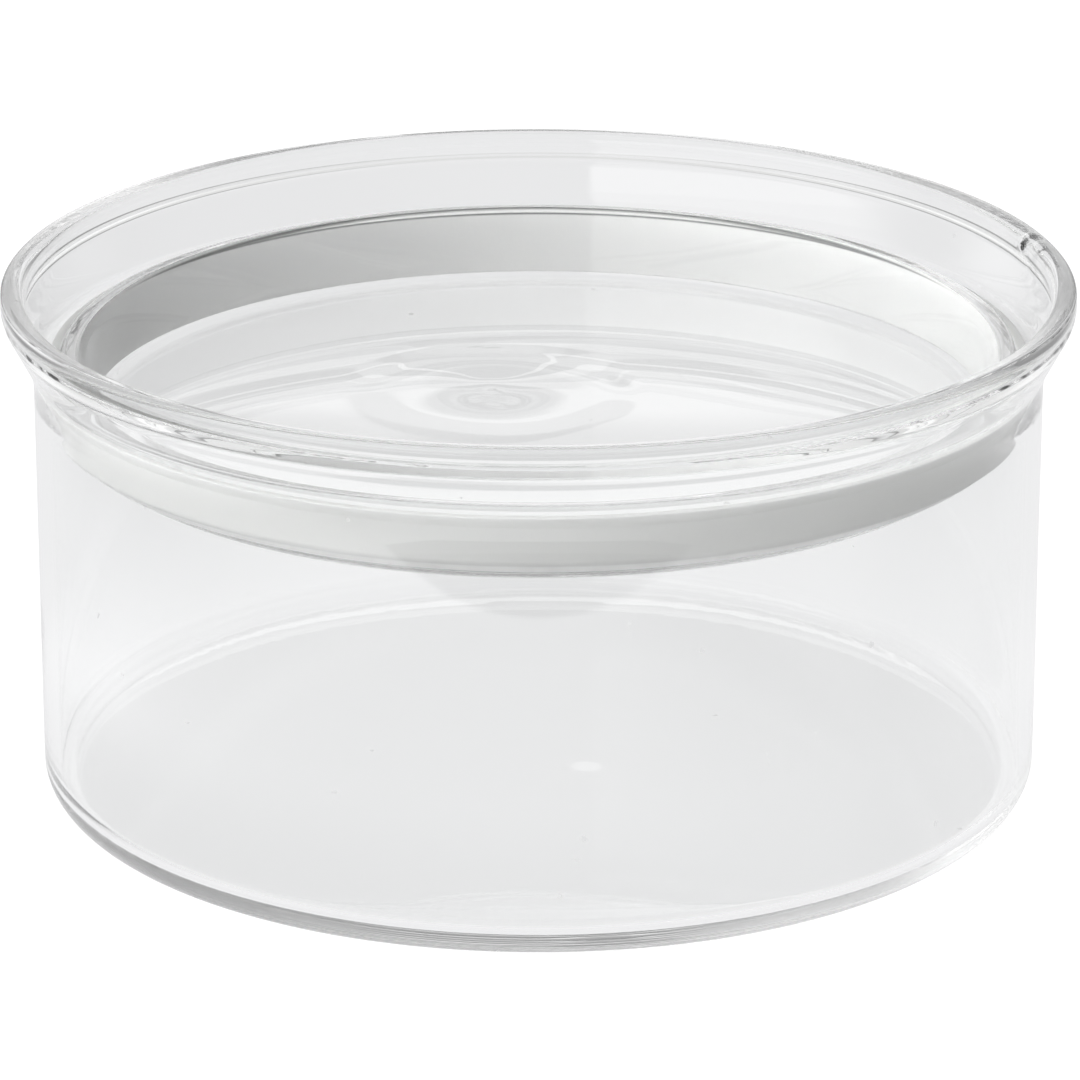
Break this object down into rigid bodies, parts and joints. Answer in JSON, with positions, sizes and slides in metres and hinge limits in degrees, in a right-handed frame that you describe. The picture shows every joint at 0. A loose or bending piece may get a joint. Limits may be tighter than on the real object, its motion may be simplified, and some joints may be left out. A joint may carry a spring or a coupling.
{
  "type": "crystallizing dish",
  "caption": "Straight-walled clear glass dish with a flared lip, closed by a recessed glass lid in a soft seal ring.",
  "frame": {"origin": "centre of the dish's flat underside", "axes": "+Z is the turning axis, up through the open mouth; the dish is the same in every direction about it, so +X and +Y are free"},
  "size_m": [0.1486, 0.1486, 0.0726],
  "materials": {
    "dish_glass": "clear, fire-polished borosilicate glass",
    "lid_glass": "clear pressed glass with a faint gate mark and slow ripples in the floor",
    "seal_silicone": "satin, milky translucent silicone"
  },
  "bodies": {
    "dish": {"dish": "dish_glass"},
    "seal_ring": {"seal_ring": "seal_silicone"},
    "lid": {"lid": "lid_glass"}
  },
  "joints": [
    {"name": "lid_lift", "type": "slide", "parent": "dish", "child": "seal_ring", "axis": [0, 0, 1], "range_m": [0, 0.08]},
    {"name": "lid_out_of_seal", "type": "slide", "parent": "seal_ring", "child": "lid", "axis": [0, 0, 1], "range_m": [0, 0.03]}
  ]
}
